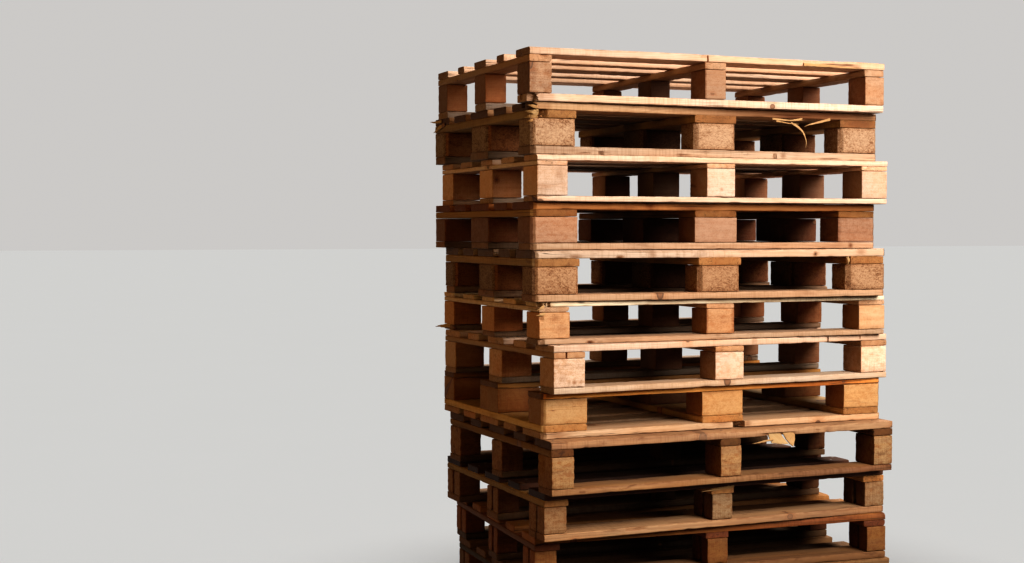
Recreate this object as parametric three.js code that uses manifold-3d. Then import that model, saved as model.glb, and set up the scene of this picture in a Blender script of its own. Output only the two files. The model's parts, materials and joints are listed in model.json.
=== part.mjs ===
// A standing stack of twelve used wooden pallets, in millimetres, with +Z up and the floor at z = 0.
// +X runs to the right along the long front face, and +Y runs away from it.
// Pallets are counted from the top of the stack.
// A pallet is three runners under a deck. A runner is a bottom board with three blocks on it.
// A deck is three stringers with five boards across them.
import * as THREE from "three";
import Module from "manifold-3d";

const wasm = await Module();
wasm.setup();
const { Manifold } = wasm;

const LONG = 1200; // front face of a pallet
const DEEP = 800; // side face of a pallet
const REST = 0.3; // clearance between two solids that rest on each other
const JOINT = 0.8; // height of the open seam between two nailed timbers of one solid
const SEAM_INSET = 12; // how far a seam runs in from the timber's edges
const TWIN_GAP = 12; // space between the two timbers of a twin block

// Thicknesses: t = [deck board, stringer, block, bottom board].
// Blocks: along = size in x, deep = size in y of the front and rear rows, middle = size in y of the middle row.
// deck = widths of the deck boards from front to back, stringer = width of the stringers.
// at = place of the near left corner, turn = degrees about that corner, seen from above.
// corner = leg of the cut at the pallet's four upright corners, edge = the same on every block.
// nudge = how far the middle column of blocks and the middle stringer sit right of the middle.
const PALLETS = [
  { t: [22, 21, 88, 23], along: 70, deep: 93, middle: 95, deck: [108, 60, 104, 60, 100],
    stringer: 72, at: [-46, -26], turn: -1.3, colour: 0xd9a468, shortEnd: 17 },
  { t: [22, 24, 79, 24], along: 145, deep: 100, middle: 145, deck: [145, 100, 145, 100, 145],
    stringer: 145, at: [-34, -15], turn: 0.3, colour: 0xb98655, corner: 14, edge: 13, nudge: 7 },
  { t: [18, 14, 86, 17], along: 97, deep: 105, middle: 113, deck: [100, 100, 100, 100, 100],
    stringer: 97, at: [-23, -30], turn: -0.6, colour: 0xdcae72 },
  { t: [22, 21, 76, 20], along: 148, deep: 100, middle: 143, deck: [145, 100, 145, 100, 145],
    stringer: 145, at: [-28, -4], turn: 0.4, colour: 0xc08a52, corner: 14, nudge: 10 },
  { t: [24, 24, 80, 21], along: 145, deep: 100, middle: 143, deck: [145, 100, 145, 100, 145],
    stringer: 145, at: [-23, -5], turn: -1.8, colour: 0xb8824f, corner: 14, edge: 13, nudge: 5 },
  { t: [15, 15, 77, 17], along: 98, deep: 93, middle: 104, deck: [100, 100, 100, 100, 100],
    stringer: 98, at: [-2, 3], turn: -0.4, colour: 0xcb9259 },
  { t: [20, 18, 84, 19], along: 103, deep: 90, middle: 97, deck: [120, 90, 120, 90, 120],
    stringer: 103, at: [28, -34], turn: 2.5, colour: 0xd6a266 },
  { t: [20, 21, 75, 18], along: 145, deep: 100, middle: 145, deck: [145, 100, 145, 100, 145],
    stringer: 145, at: [12, 13], turn: 0.7, colour: 0xbd8750, corner: 12, nudge: 9, upsideDown: true },
  { t: [23, 22, 93, 20], along: 72, deep: 95, middle: 84, deck: [120, 90, 120, 90, 120],
    stringer: 74, at: [18, -40], turn: 0.7, colour: 0xa08c74 },
  { t: [22, 20, 79, 22], along: 74, deep: 114, middle: 93, deck: [120, 90, 120, 90, 120],
    stringer: 80, at: [24, 22], turn: 0.2, colour: 0xb58350, twin: true },
  { t: [22, 20, 80, 22], along: 70, deep: 108, middle: 90, deck: [120, 90, 120, 90, 120],
    stringer: 80, at: [26, 96], turn: -4.0, colour: 0xb27c48, twin: true },
  { t: [22, 20, 80, 22], along: 72, deep: 112, middle: 92, deck: [120, 90, 120, 90, 120],
    stringer: 80, at: [37, 70], turn: -3.2, colour: 0xa97a4d, twin: true },
];

const STRINGER_SIDES = ["left", "middle", "right"];
const RUNNER_ROWS = ["front", "middle", "rear"];

// A timber between two corners.
function timber(x, y, z) {
  return Manifold.cube([x[1] - x[0], y[1] - y[0], z[1] - z[0]]).translate([x[0], y[0], z[0]]);
}

// The nailed patch that carries one timber on another, inside the seam between them.
function nailed(x, y, z) {
  return timber(
    [x[0] + SEAM_INSET, x[1] - SEAM_INSET],
    [y[0] + SEAM_INSET, y[1] - SEAM_INSET],
    [z - JOINT - 1, z + 1],
  );
}

// A timber whose four upright edges are cut at 45 degrees.
function cutTimber(x, y, z, leg) {
  const outline = [
    [x[0] + leg, y[0]], [x[1] - leg, y[0]], [x[1], y[0] + leg], [x[1], y[1] - leg],
    [x[1] - leg, y[1]], [x[0] + leg, y[1]], [x[0], y[1] - leg], [x[0], y[0] + leg],
  ];
  return Manifold.extrude([outline], z[1] - z[0]).translate([0, 0, z[0]]);
}

// Three equal spans of one width across a length: at its start, its middle and its end.
function threeSpans(width, length, nudge = 0) {
  return [
    [0, width],
    [(length - width) / 2 + nudge, (length + width) / 2 + nudge],
    [length - width, length],
  ];
}

// Spans of the deck boards, with equal gaps between them.
function deckSpans(widths) {
  const gap = (DEEP - widths.reduce((sum, w) => sum + w, 0)) / (widths.length - 1);
  let from = 0;
  return widths.map((w) => {
    const span = [from, from + w];
    from += w + gap;
    return span;
  });
}

// Spans in y of the three rows of blocks.
function rowSpans({ deep, middle }) {
  return [
    [0, deep],
    [(DEEP - middle) / 2, (DEEP + middle) / 2],
    [DEEP - deep, DEEP],
  ];
}

// The levels where the bottom board, the block, the stringer and the deck board end.
function levels({ t: [deck, stringer, block, bottom] }) {
  const blockFoot = bottom;
  const blockTop = blockFoot + block;
  const stringerTop = blockTop + stringer;
  return { blockFoot, blockTop, stringerTop, top: stringerTop + deck };
}

// One runner: its bottom board and the blocks nailed on it.
function runner(pallet, row) {
  const { blockFoot, blockTop } = levels(pallet);
  const y = rowSpans(pallet)[row];
  const start = row === 0 && pallet.shortEnd ? pallet.shortEnd : 0;
  const solids = [timber([start, LONG], y, [0, blockFoot - JOINT])];
  const halves = pallet.twin
    ? [
        [y[0], (y[0] + y[1] - TWIN_GAP) / 2],
        [(y[0] + y[1] + TWIN_GAP) / 2, y[1]],
      ]
    : [y];
  for (const x of threeSpans(pallet.along, LONG, pallet.nudge)) {
    for (const half of halves) {
      const height = [blockFoot, blockTop - REST];
      solids.push(pallet.edge ? cutTimber(x, half, height, pallet.edge) : timber(x, half, height));
      solids.push(nailed([Math.max(x[0], start), x[1]], half, blockFoot));
    }
  }
  return Manifold.union(solids);
}

// The stringers of a deck, or the boards across them, as separate solids.
function stringers(pallet, gap) {
  const { blockTop, stringerTop } = levels(pallet);
  return threeSpans(pallet.stringer, LONG, pallet.nudge).map((x) => timber(x, [0, DEEP], [blockTop, stringerTop - gap]));
}

function deckBoards(pallet) {
  const { stringerTop, top } = levels(pallet);
  return deckSpans(pallet.deck).map((y) => timber([0, LONG], y, [stringerTop, top]));
}

// A whole deck as one solid, with an open seam between the boards and the stringers.
function deckMat(pallet) {
  const { stringerTop } = levels(pallet);
  const patches = threeSpans(pallet.stringer, LONG, pallet.nudge).flatMap((x) =>
    deckSpans(pallet.deck).map((y) => nailed(x, y, stringerTop)),
  );
  return Manifold.union([...stringers(pallet, JOINT), ...deckBoards(pallet), ...patches]);
}

// The named solids of one pallet, still at its own corner.
function solidsOf(pallet, name) {
  const solids = {};
  if (pallet === PALLETS[0]) {
    // the top deck is open to view and to the hand, so each of its timbers is a solid of its own
    deckBoards(pallet).forEach((s, i) => (solids[name + "_deck_board_" + (i + 1)] = s));
    stringers(pallet, REST).forEach((s, i) => (solids[name + "_stringer_" + STRINGER_SIDES[i]] = s));
  } else {
    solids[name + "_deck"] = deckMat(pallet);
  }
  RUNNER_ROWS.forEach((row, i) => (solids[name + "_runner_" + row] = runner(pallet, i)));
  return solids;
}

// A solid as a geometry with flat faces.
function geometryOf(solid) {
  const mesh = solid.getMesh();
  const geometry = new THREE.BufferGeometry();
  geometry.setAttribute("position", new THREE.BufferAttribute(new Float32Array(mesh.vertProperties), 3));
  geometry.setIndex(new THREE.BufferAttribute(new Uint32Array(mesh.triVerts), 1));
  return geometry.toNonIndexed();
}

const stack = new THREE.Group();
stack.name = "pallet_stack";

let foot = PALLETS.reduce((sum, p) => sum + levels(p).top + REST, -REST);
PALLETS.forEach((pallet, index) => {
  const { top } = levels(pallet);
  foot -= top;
  const name = "pallet_" + String(index + 1).padStart(2, "0");
  for (const [part, local] of Object.entries(solidsOf(pallet, name))) {
    const trimmed = pallet.corner
      ? local.intersect(cutTimber([0, LONG], [0, DEEP], [-1, top + 1], pallet.corner))
      : local;
    // an upside-down pallet is turned half round about its long middle line
    const solid = pallet.upsideDown
      ? trimmed.rotate([180, 0, 0]).translate([0, DEEP, top])
      : trimmed;
    const placed = solid.rotate([0, 0, pallet.turn]).translate([pallet.at[0], pallet.at[1], foot]);
    const geometry = geometryOf(placed);
    geometry.computeVertexNormals();
    const material = new THREE.MeshStandardMaterial({ color: pallet.colour, roughness: 0.8 });
    const mesh = new THREE.Mesh(geometry, material);
    mesh.name = part;
    stack.add(mesh);
  }
  foot -= REST;
});

// The floor stays at z = 0, and the middle of the stack goes to the origin.
const box = new THREE.Box3().setFromObject(stack);
const middle = box.getCenter(new THREE.Vector3());
for (const mesh of stack.children) {
  mesh.geometry.translate(-middle.x, -middle.y, 0);
}

export default stack;
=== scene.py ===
"""A stack of used wooden pallets: the looks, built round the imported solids.

Sizes are in millimetres unless a name says otherwise."""

import json
import math

import bpy
import numpy as np
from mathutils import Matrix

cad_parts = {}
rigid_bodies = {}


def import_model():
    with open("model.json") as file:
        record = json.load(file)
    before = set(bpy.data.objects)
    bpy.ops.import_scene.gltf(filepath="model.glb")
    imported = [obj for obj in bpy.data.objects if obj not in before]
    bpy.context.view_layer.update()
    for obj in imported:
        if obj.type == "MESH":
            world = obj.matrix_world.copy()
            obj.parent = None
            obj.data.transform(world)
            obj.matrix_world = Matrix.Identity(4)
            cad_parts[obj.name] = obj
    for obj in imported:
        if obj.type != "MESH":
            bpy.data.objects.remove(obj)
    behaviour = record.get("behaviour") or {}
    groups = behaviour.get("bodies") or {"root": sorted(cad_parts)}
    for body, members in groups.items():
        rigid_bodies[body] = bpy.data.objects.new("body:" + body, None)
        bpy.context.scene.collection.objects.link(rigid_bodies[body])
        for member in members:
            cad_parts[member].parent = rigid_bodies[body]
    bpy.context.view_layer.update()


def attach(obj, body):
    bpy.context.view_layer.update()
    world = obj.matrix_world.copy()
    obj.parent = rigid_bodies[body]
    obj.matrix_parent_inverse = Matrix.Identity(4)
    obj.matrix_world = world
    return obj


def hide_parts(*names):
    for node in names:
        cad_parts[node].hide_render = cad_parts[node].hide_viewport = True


bl_info = {
    "name": "Stack of wooden pallets",
    "version": (1, 0, 0),
    "blender": (4, 5, 0),
    "location": "3D View > Sidebar > Pallets",
    "description": "Boards, blocks, nails and splinters of a stack of worn pallets",
    "category": "Object",
}

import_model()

# A pallet's length and depth, and the free height between two pallets.
LONG, DEEP = 1200.0, 800.0
REST = 0.3

# Widths of the deck boards, from the front.
BROAD, EVEN, MIXED = (145, 100, 145, 100, 145), (100, 100, 100, 100, 100), (120, 90, 120, 90, 120)

# The tones also hold painted light and shade: they mostly darken down the stack, partly older wood, partly
# painted shade; P10's deck is painted shadow under the pallet above, and P6's pale deck is painted light.
# Pallets are counted from the top.
# thick: that of deck board, stringer, block and bottom board. tones: the colours, in that order.
# along: a block's length. deep, middle: the depths of the outer rows and of the middle row.
# at, turn: place of the near left corner, and turn in degrees. nudge: the middle blocks' shift to the right.
# corner: leg of the cut upright corners. deck_ends, stringer_ends: how dark the end cuts are. age: 0 new, 1
# grey.
# left: share of the tone on the left side of a block, a stringer and a bottom board: painted light above 1,
# painted shade below.
# front: that share on the rear bottom board's outer side, which faces the front on an upside-down pallet:
# painted light, as that side lies in the shade of the pallet above.
PALLETS = [
    dict(thick=(22, 21, 88, 23), along=70, deep=93, middle=95, deck=(108, 60, 104, 60, 100), stringer=72,
         at=(-46, -26), turn=-1.3, blocks="solid", age=0.1, left=(0.7, 0.72, 0.8), deck_ends=1.6,
         stringer_ends=0.2,
         tones=((0.7, 0.53, 0.42), (0.5, 0.33, 0.22), (0.42, 0.27, 0.18), (0.71, 0.55, 0.45))),
    dict(thick=(22, 24, 79, 24), along=145, deep=100, middle=145, deck=BROAD, stringer=145,
         at=(-34, -15), turn=0.3, blocks="chip", age=0.3, left=(0.68, 0.6, 0.8), deck_ends=2.0, corner=14,
         nudge=7,
         tones=((0.52, 0.33, 0.19), (0.56, 0.37, 0.17), (0.43, 0.28, 0.18), (0.47, 0.36, 0.28))),
    dict(thick=(18, 14, 86, 17), along=97, deep=105, middle=113, deck=EVEN, stringer=97,
         at=(-23, -30), turn=-0.6, blocks="solid", age=0.02, left=(1.5, 0.85, 0.8), stringer_ends=0.6,
         tones=((0.73, 0.56, 0.45), (0.85, 0.64, 0.5), (0.62, 0.47, 0.38), (0.76, 0.58, 0.46))),
    dict(thick=(22, 21, 76, 20), along=148, deep=100, middle=143, deck=BROAD, stringer=145,
         at=(-28, -4), turn=0.4, blocks="solid", age=0.15, left=(0.72, 0.82, 0.8), deck_ends=1.7, corner=14,
         nudge=10,
         tones=((0.54, 0.24, 0.08), (0.38, 0.21, 0.07), (0.4, 0.24, 0.16), (0.48, 0.33, 0.23))),
    dict(thick=(24, 24, 80, 21), along=145, deep=100, middle=143, deck=BROAD, stringer=145,
         at=(-23, -5), turn=-1.8, blocks="chip", age=0.22, left=(0.62, 0.68, 0.8), deck_ends=1.9, corner=14,
         nudge=5,
         tones=((0.63, 0.48, 0.38), (0.57, 0.35, 0.16), (0.4, 0.24, 0.14), (0.53, 0.35, 0.23))),
    dict(thick=(15, 15, 77, 17), along=98, deep=93, middle=104, deck=EVEN, stringer=98,
         at=(-2, 3), turn=-0.4, blocks="solid", age=0.1, left=(1.3, 1.0, 0.8), stringer_ends=0.6,
         tones=((0.93, 0.8, 0.61), (0.69, 0.5, 0.36), (0.62, 0.4, 0.24), (0.49, 0.35, 0.25))),
    dict(thick=(20, 18, 84, 19), along=103, deep=90, middle=97, deck=MIXED, stringer=103,
         at=(28, -34), turn=2.5, blocks="solid", age=0.05, left=(1.1, 0.7, 0.8), stringer_ends=0.2,
         tones=((0.75, 0.57, 0.46), (0.55, 0.33, 0.19), (0.78, 0.59, 0.47), (0.63, 0.51, 0.41))),
    dict(thick=(20, 21, 75, 18), along=145, deep=100, middle=145, deck=BROAD, stringer=145,
         at=(12, 13), turn=0.7, blocks="solid", age=0.12, left=(0.88, 1.0, 0.35), corner=12, nudge=9,
         front=1.8, upside_down=True,
         tones=((0.66, 0.45, 0.29), (0.67, 0.43, 0.2), (0.53, 0.33, 0.16), (0.6, 0.32, 0.1))),
    dict(thick=(23, 22, 93, 20), along=72, deep=95, middle=84, deck=MIXED, stringer=74,
         at=(18, -40), turn=0.7, blocks="solid", age=0.62, left=(1.12, 0.95, 0.8), deck_ends=2.0,
         tones=((0.5, 0.3, 0.16), (0.26, 0.13, 0.03), (0.4, 0.24, 0.11), (0.38, 0.21, 0.09))),
    dict(thick=(22, 20, 79, 22), along=74, deep=114, middle=93, deck=MIXED, stringer=80,
         at=(24, 22), turn=0.2, blocks="twin", age=0.45, left=(1.22, 0.5, 0.8), deck_ends=1.7,
         tones=((0.1, 0.04, 0.02), (0.76, 0.48, 0.22), (0.31, 0.2, 0.11), (0.46, 0.28, 0.15))),
    dict(thick=(22, 20, 80, 22), along=70, deep=108, middle=90, deck=MIXED, stringer=80,
         at=(26, 96), turn=-4.0, blocks="twin", age=0.4, left=(1.45, 0.5, 0.8),
         tones=((0.45, 0.22, 0.07), (0.3, 0.12, 0.05), (0.24, 0.11, 0.03), (0.22, 0.12, 0.05))),
    dict(thick=(22, 20, 80, 22), along=72, deep=112, middle=92, deck=MIXED, stringer=80,
         at=(37, 70), turn=-3.2, blocks="twin", age=0.45, left=(1.0, 0.3, 0.8),
         tones=((0.25, 0.14, 0.06), (0.22, 0.12, 0.05), (0.28, 0.16, 0.07), (0.22, 0.12, 0.05))),
]

# A timber's side -> the axis that runs along it, the axis that it faces, and 1 where it is the far side.
# A stringer lies across, so its left side faces the pallet's front and its rear side the pallet's left.
SIDES = {"front": (0, 1, 0), "rear": (0, 1, 1), "left": (1, 0, 0), "right": (1, 0, 1), "under": (0, 2, 0)}

# Bites out of a timber: pallet, kind, number and side, then each bite's place along the side, half width,
# depth, and lowest and highest share of the timber's thickness. A narrow deep bite is a crack.
BITES = [
    (1, "deck", 0, "front", (1036, 80, 9, -0.3, 0.5), (558, 20, 3, 0.45, 1.2), (572, 2.2, 9, -0.2, 0.8)),
    (1, "stringer", 0, "left", (26, 14, 6, 0.6, 1.3)),
    (1, "bottom", 0, "left", (4, 16, 26, -0.2, 1.2), (62, 9, 12, 0.3, 1.2)),
    (1, "block", 0, "right", (9, 10, 8, 0.3, 0.6)),
    (2, "deck", 0, "left", (12, 20, 20, -0.2, 0.8), (60, 12, 30, 0.3, 1.2)),
    (2, "deck", 0, "front", (876, 62, 7, -0.3, 0.55)),
    (2, "stringer", 0, "left", (120, 26, 22, -0.2, 1.2), (134, 6, 40, -0.2, 0.9)),
    (2, "bottom", 0, "front", (164, 24, 5, -0.3, 0.35), (219, 10, 6, -0.2, 0.5), (494, 30, 4, -0.2, 0.4),
     (814, 8, 5, -0.2, 0.7), (1014, 50, 4, -0.3, 0.3)),
    (3, "deck", 0, "front", (690, 40, 2.5, 0.5, 1.2)),
    (5, "deck", 0, "front", (712, 60, 2.5, 0.6, 1.2)),
    (5, "stringer", 2, "left", (138, 7, 16, -0.2, 1.2)),
    (6, "deck", 0, "left", (8, 14, 16, -0.2, 1.2)),
    (6, "deck", 0, "front", (24, 6, 12, -0.2, 1.2), (8, 4, 14, 0.3, 1.2)),
    (6, "bottom", 0, "front", (0, 18, 9, -0.2, 1.2), (162, 9, 4, -0.3, 0.5)),
    (6, "block", 0, "front", (5, 9, 5, 0.62, 0.95)),
    (7, "stringer", 0, "left", (62, 2.6, 26, -0.2, 1.2)),
    (7, "deck", 0, "front", (967, 2.4, 9, -0.2, 0.9), (1092, 1.6, 5, 0.2, 0.9)),
    (8, "deck", 4, "rear", (666, 20, 34, -0.2, 1.2), (607, 46, 4, -0.2, 0.4)),
    (9, "deck", 0, "front", (770, 70, 9, -0.3, 0.45)),
    (9, "block", 0, "left", (66, 20, 7, 0.4, 1.2)),
    (10, "bottom", 0, "front", (300, 40, 5, 0.5, 1.2)),
    (10, "bottom", 0, "left", (60, 3, 60, -0.2, 1.2)),
    (11, "bottom", 0, "front", (760, 60, 6, 0.5, 1.2)),
    (12, "deck", 0, "front", (420, 50, 4, -0.3, 0.4)),
]

# Knots and stains, painted shadows and darker stretches: pallet, kind, number and side, then each one's place
# along the side, height, half length, half height and darkness.
KNOTS_AND_SHADOWS = [
    (1, "bottom", 0, "front", (18, 12, 12, 9, 0.25)),
    (1, "block", 0, "front", (12, 44, 9, 60, 0.3), (46, 20, 26, 7, 0.25), (60, 62, 14, 6, 0.3)),
    (1, "block", 1, "front", (35, 44, 60, 80, 0.26)),
    # P2: the deck's widest mark is painted shadow under the pallet above; stringers 1 and 2 have darker ends
    (2, "deck", 0, "front", (722, 6, 6, 6, 0.95), (884, 10, 60, 8, 0.25), (930, 9, 380, 30, 0.77)),
    (2, "stringer", 1, "left", (72, 12, 90, 22, 0.45)),
    (2, "stringer", 2, "left", (72, 12, 90, 22, 0.74)),
    (2, "bottom", 0, "front", (844, 12, 9, 11, 0.55), (74, 12, 80, 10, 0.2)),
    (3, "block", 1, "front", (50, 23, 6, 5, 0.45)),
    (3, "block", 3, "front", (14, 55, 9, 10, 0.9)),
    (3, "block", 0, "front", (70, 60, 12, 26, 0.22), (22, 20, 20, 14, 0.2)),
    (4, "deck", 0, "front", (382, 12, 16, 12, 0.55), (515, 8, 30, 7, 0.5), (310, 8, 26, 5, 0.35)),
    (4, "block", 2, "front", (74, 38, 130, 90, 0.24)),
    (4, "bottom", 0, "front", (1100, 9, 8, 8, 0.85), (1040, 9, 40, 8, 0.28)),
    (5, "deck", 0, "front", (378, 12, 12, 14, 0.5), (938, 9, 7, 6, 1.0), (1104, 14, 16, 11, 0.45),
     (130, 6, 16, 6, 0.6), (274, 3, 12, 5, 0.85)),
    (5, "bottom", 0, "front", (912, 12, 30, 9, 0.22)),
    (6, "deck", 0, "front", (12, 8, 12, 9, 0.3), (395, 7, 70, 9, 0.3)),
    (6, "bottom", 0, "front", (162, 3, 12, 5, 0.9), (250, 6, 60, 6, 0.25)),
    (6, "block", 1, "front", (52, 52, 9, 8, 0.45), (50, 38, 90, 70, 0.28)),
    (6, "block", 0, "front", (52, 60, 14, 9, 0.4), (70, 28, 20, 12, 0.3)),
    (7, "block", 0, "front", (30, 28, 15, 11, 0.34), (68, 14, 7, 6, 0.6), (88, 16, 6, 6, 0.34),
     (50, 12, 5, 9, 0.28)),
    (7, "deck", 0, "front", (690, 12, 10, 8, 0.3)),
    # P8: the front-facing bottom board is darker along its right part, with painted shade at its left end
    # under the pallet above
    (8, "bottom", 2, "rear", (930, 9, 300, 24, 0.77), (0, 9, 34, 24, 0.6)),
    (8, "deck", 4, "rear", (695, 8, 14, 12, 0.55), (607, 8, 30, 10, 0.25), (48, 9, 40, 14, 0.5)),
    (9, "deck", 0, "front", (955, 10, 12, 10, 0.5), (330, 17, 150, 4, 0.4), (120, 6, 70, 4, 0.35),
     (560, 6, 120, 4, 0.35), (20, 10, 30, 16, 0.4)),
    # P9 and P10: the front bottom board darker along its right part
    (9, "bottom", 0, "front", (1010, 9, 300, 24, 0.7)),
    (10, "bottom", 0, "front", (1010, 9, 260, 24, 0.4)),
    # P11: the deck darker along its right part
    (11, "deck", 0, "front", (930, 9, 400, 30, 0.77)),
]

# Torn strands: pallet, width, thickness, then the points that the strand runs through, from its root.
STRANDS = [
    (1, 9, 5, (905, -1, 139), (1010, -4, 137), (1112, -2, 134)),
    (2, 7, 3, (874, 1, 112), (892, -4, 103), (911, -6, 88), (922, -6, 70), (926, -5, 52), (925, -4, 37)),
    (2, 8, 4, (1016, 0, 127), (982, -3, 119), (944, -5, 110), (916, -7, 102)),
    (2, 5, 3, (806, 1, 123), (864, -4, 119), (919, -3, 121)),
    (2, 4, 3, (820, 1, 117), (864, -3, 110), (900, -3, 109)),
    (2, 5, 3, (914, 1, 126), (884, -5, 121), (852, -4, 118)),
    (2, 15, 7, (24, 6, 118), (6, 10, 120), (-9, 26, 122)),
    (2, 13, 6, (22, 6, 108), (2, 16, 106), (-8, 34, 104)),
    (2, 10, 5, (20, 2, 132), (4, 8, 137), (-5, 18, 139)),
    (2, 9, 5, (18, 6, 98), (0, 10, 94), (-8, 24, 90)),
    (2, 12, 5, (-2, 690, 128), (-9, 730, 118), (-12, 772, 104)),
    (2, 9, 4, (-2, 720, 140), (-12, 752, 138), (-16, 792, 142)),
    (5, 9, 6, (1055, 1, 124), (1058, -2, 112), (1056, -1, 99)),
    (6, 15, 6, (8, 740, 14), (-14, 770, 11), (-34, 793, 8)),
    (6, 9, 5, (16, 1, 111), (4, -2, 106), (-6, 2, 99)),
    (6, 8, 4, (20, 3, 90), (4, -2, 88), (-9, 3, 84)),
    (9, 7, 5, (752, 4, 124), (714, 2, 119), (676, 2, 115)),
    (10, 9, 4, (640, 2, 121), (560, -3, 116), (520, -3, 112)),
]

# Torn flakes: pallet, distance behind the front, thickness, then the outline as (along, height).
FLAKES = [
    (9, 4, 6, (788, 142), (833, 142), (832, 118), (823, 99), (814, 105), (801, 121)),
    (9, 7, 5, (738, 142), (780, 142), (797, 121), (810, 106), (780, 108), (750, 113), (742, 126)),
]

# Tone of the torn wood inside a board.
FRESH = (0.54, 0.37, 0.19)

# Share of the tone that sides in shade keep, as painted shade: a bottom board's underside and inward front,
# then the sides of a block that face another block, by column. The painted shade is lightest at the open left
# end.
UNDERSIDE_SHADE, INWARD_BOARD_SHADE = 0.6, 0.5
INWARD_SHADE = ((0.76, 0.52, 0.31), (0.44, 0.30, 0.21), (0.44, 0.30, 0.21))

# Painted shade inside a pallet: how far in it starts, how far it grows, and the share of the tone that it
# takes.
PAINTED_SHADE_START, PAINTED_SHADE_SPAN, PAINTED_SHADE = 30, 140, 0.55

# Spacing of a timber's points along, across and up, the spacing up where dark marks are painted on it, and
# its arris radius.
BOARD_GRID, BLOCK_GRID = (16.0, 12.0, 7.0, 2.0, 1.8), (9.0, 9.0, 10.0, 3.0, 2.0)

# How far the arris darkening reaches in on a sawn block, as dirt on bruises, and on a pressed one, as crumbly
# wear and painted shade on its cut corners.
RIM, CHIP_RIM = 3.0, 9.0

# Leg of a pressed block's cut upright edges, and the gap between the two timbers of a twin block.
CHIP_CUT, TWIN_GAP = 13, 12

# Seams: how far a timber lies above the foot of its layer, and how much thinner than the layer it is, in the
# order of thick. SEAM is the free width beside a board.
RISE, THINNER, SEAM = (0.4, 0.5, 0.4, 0.2), (0.5, 0.8, 0.8, 0.6), 0.5

# How much shorter and narrower than its place a board may be sawn, and how far along it may be shifted. A
# block may be smaller and shifted both ways.
SHORTER, NARROWER, SHIFT = 3, 2, 2
BLOCK_SMALLER, BLOCK_SHIFT = 2.5, 1.5

# Depth of a bark edge, and the chance that a board has one.
BARK, BARK_CHANCE = 3.0, 0.3

# Length of log in metres along which a timber's place is drawn at random.
LOG_REACH = 90

# Edges sharper than this many degrees are drawn sharp.
SHARP = 42

# A nail head's height in metres, how far it may lean, and how deep its middle sits in the wood. Then the
# corners of its outline, the rise of its middle in metres, and the share of the radius that has risen.
HEAD_HEIGHT, HEAD_TILT, HEAD_DEPTH = 0.0012, 0.07, 0.35
HEAD_CORNERS, HEAD_DOME, HEAD_RISEN = 14, 0.00025, 0.8

# How far off the middle nails stand, as a share of a stringer's width and of a block's.
OFF_STRINGER, OFF_BLOCK = 0.23, 0.22

# From these widths of board and stringer on, three nails hold a board to a stringer, and two elsewhere.
BROAD_BOARD, BROAD_STRINGER = 115, 100

# Millimetres in a metre, and half the floor's width in metres.
MM, FLOOR_REACH = 1000, 90.0

# The photo's camera: its place in metres, and its pitch and yaw in degrees.
CAMERA_PLACE, CAMERA_PITCH, CAMERA_YAW = (-2.3437, -4.2948, 1.1943), -1.956, 22.934

# Colours of light.
AMBER, WARM, PALE = (1.0, 0.68, 0.34), (1.0, 0.93, 0.84), (1.0, 0.98, 0.96)

# Lamps: name, place, target, width, share of the key light's power, colour.
LAMPS = (
    ("key", (1.25, -3.85, 2.85), (-0.15, -0.2, 1.1), 2.9, 1.05, (1.0, 0.92, 0.82)),
    ("fill", (-4.8, -0.8, 1.9), (0, 0, 0.9), 2.6, 0.17, (1.0, 0.66, 0.29)),
    ("back right", (2.9, 2.4, 5.0), (0, 0, 0.9), 2.0, 0.80, WARM),
    ("back", (0.4, 3.6, 5.0), (0, 0, 0.9), 2.0, 0.35, WARM),
)


def three_spans(whole, outer, middle, nudge=0):
    """Where two outer parts and a middle one stand along a side."""
    start, end = (whole - middle) / 2 + nudge, (whole + middle) / 2 + nudge
    return [(0, outer), (start, end), (whole - outer, whole)]


def turned(p, degrees, at, mid, foot):
    """Points turned about the upright through their origin, then moved."""
    c, s = math.cos(math.radians(degrees)), math.sin(math.radians(degrees))
    return np.column_stack([
        p[:, 0] * c - p[:, 1] * s + at[0] - mid[0],
        p[:, 0] * s + p[:, 1] * c + at[1] - mid[1],
        p[:, 2] + foot,
    ])


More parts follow.
